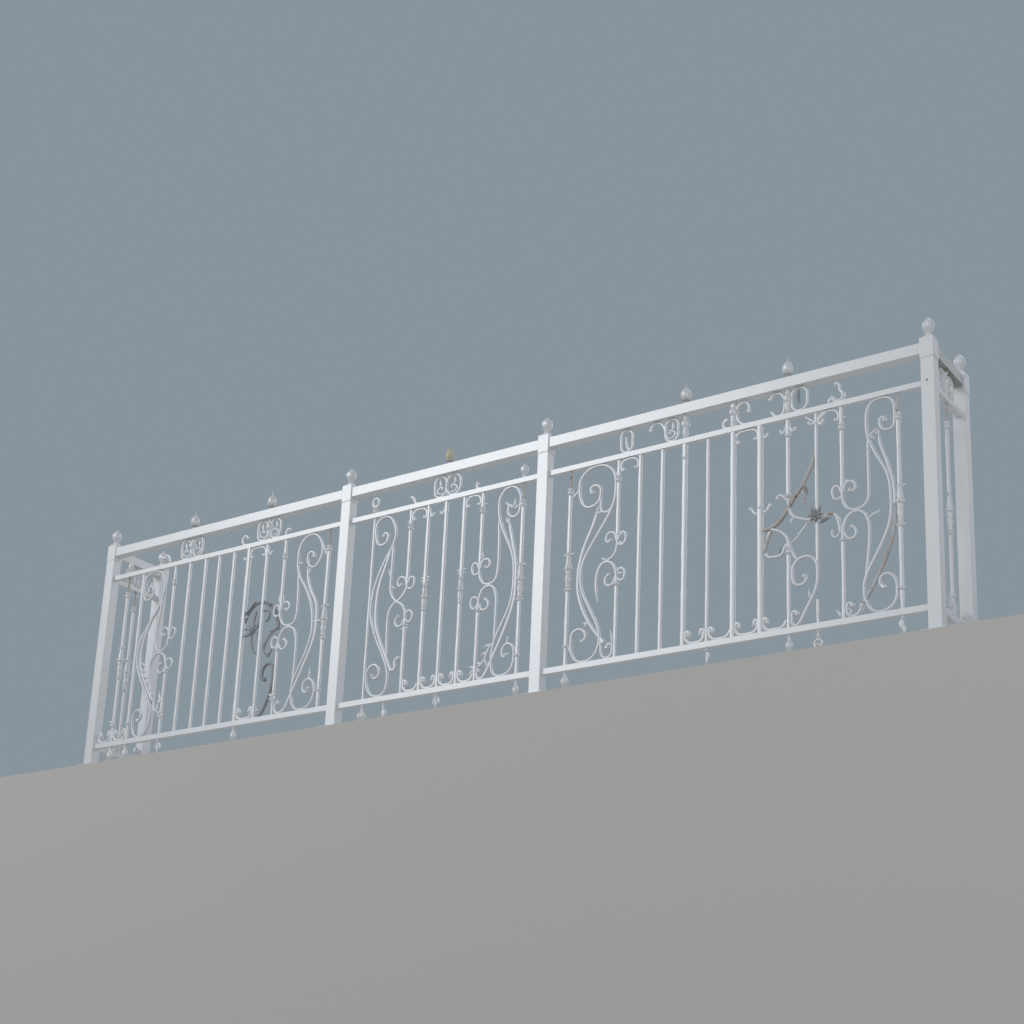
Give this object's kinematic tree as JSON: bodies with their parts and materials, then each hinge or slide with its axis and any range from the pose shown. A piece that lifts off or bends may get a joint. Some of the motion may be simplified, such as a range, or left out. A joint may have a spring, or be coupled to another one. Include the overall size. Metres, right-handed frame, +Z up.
{
  "type": "iron balcony railing",
  "caption": "White wrought iron balcony railing: front bays and short side returns with square bars, scroll groups at the bay ends, a scrolled band and finials on the posts.",
  "frame": {"origin": "centre of the underside of the left corner post's base plate, as seen from outside", "axes": "+X along the front to the right as seen from outside, +Y into the balcony along the returns, +Z up"},
  "size_m": [4.049, 0.384, 1.15],
  "materials": {
    "post_enamel": "satin",
    "rail_enamel": "satin",
    "bar_enamel": "satin",
    "weathered_enamel": "satin",
    "dark_iron": "matt"
  },
  "bodies": {
    "root": {"left_end_post": "post_enamel", "left_corner_post": "post_enamel", "second_post": "post_enamel", "third_post": "post_enamel", "right_corner_post": "post_enamel", "right_end_post": "post_enamel", "left_end_finial": "post_enamel", "left_corner_finial": "post_enamel", "second_post_finial": "post_enamel", "third_post_finial": "post_enamel", "right_corner_finial": "post_enamel", "right_end_finial": "post_enamel", "left_return_top_rail": "rail_enamel", "bay_one_top_rail": "rail_enamel", "bay_two_top_rail": "rail_enamel", "bay_three_top_rail": "rail_enamel", "right_return_top_rail": "rail_enamel", "left_return_sub_rail": "rail_enamel", "bay_one_sub_rail": "rail_enamel", "bay_two_sub_rail": "rail_enamel", "bay_three_sub_rail": "rail_enamel", "right_return_sub_rail": "rail_enamel", "left_return_bottom_rail": "rail_enamel", "bay_one_bottom_rail": "rail_enamel", "bay_two_bottom_rail": "rail_enamel", "bay_three_bottom_rail": "rail_enamel", "right_return_bottom_rail": "rail_enamel", "bay_one_bars": "bar_enamel", "bay_two_bars": "bar_enamel", "bay_three_bars": "bar_enamel", "bay_one_left_scrolls": "weathered_enamel", "bay_one_right_scrolls": "weathered_enamel", "bay_two_left_scrolls": "weathered_enamel", "bay_two_right_scrolls": "weathered_enamel", "bay_three_left_scrolls": "weathered_enamel", "bay_three_right_scrolls": "weathered_enamel", "bay_one_band": "bar_enamel", "bay_two_band": "bar_enamel", "bay_three_band": "bar_enamel", "left_return_panel": "bar_enamel", "right_return_panel": "bar_enamel", "rosette_spray": "dark_iron", "crest_buds": "bar_enamel", "rail_drops": "bar_enamel"}
  },
  "joints": []
}
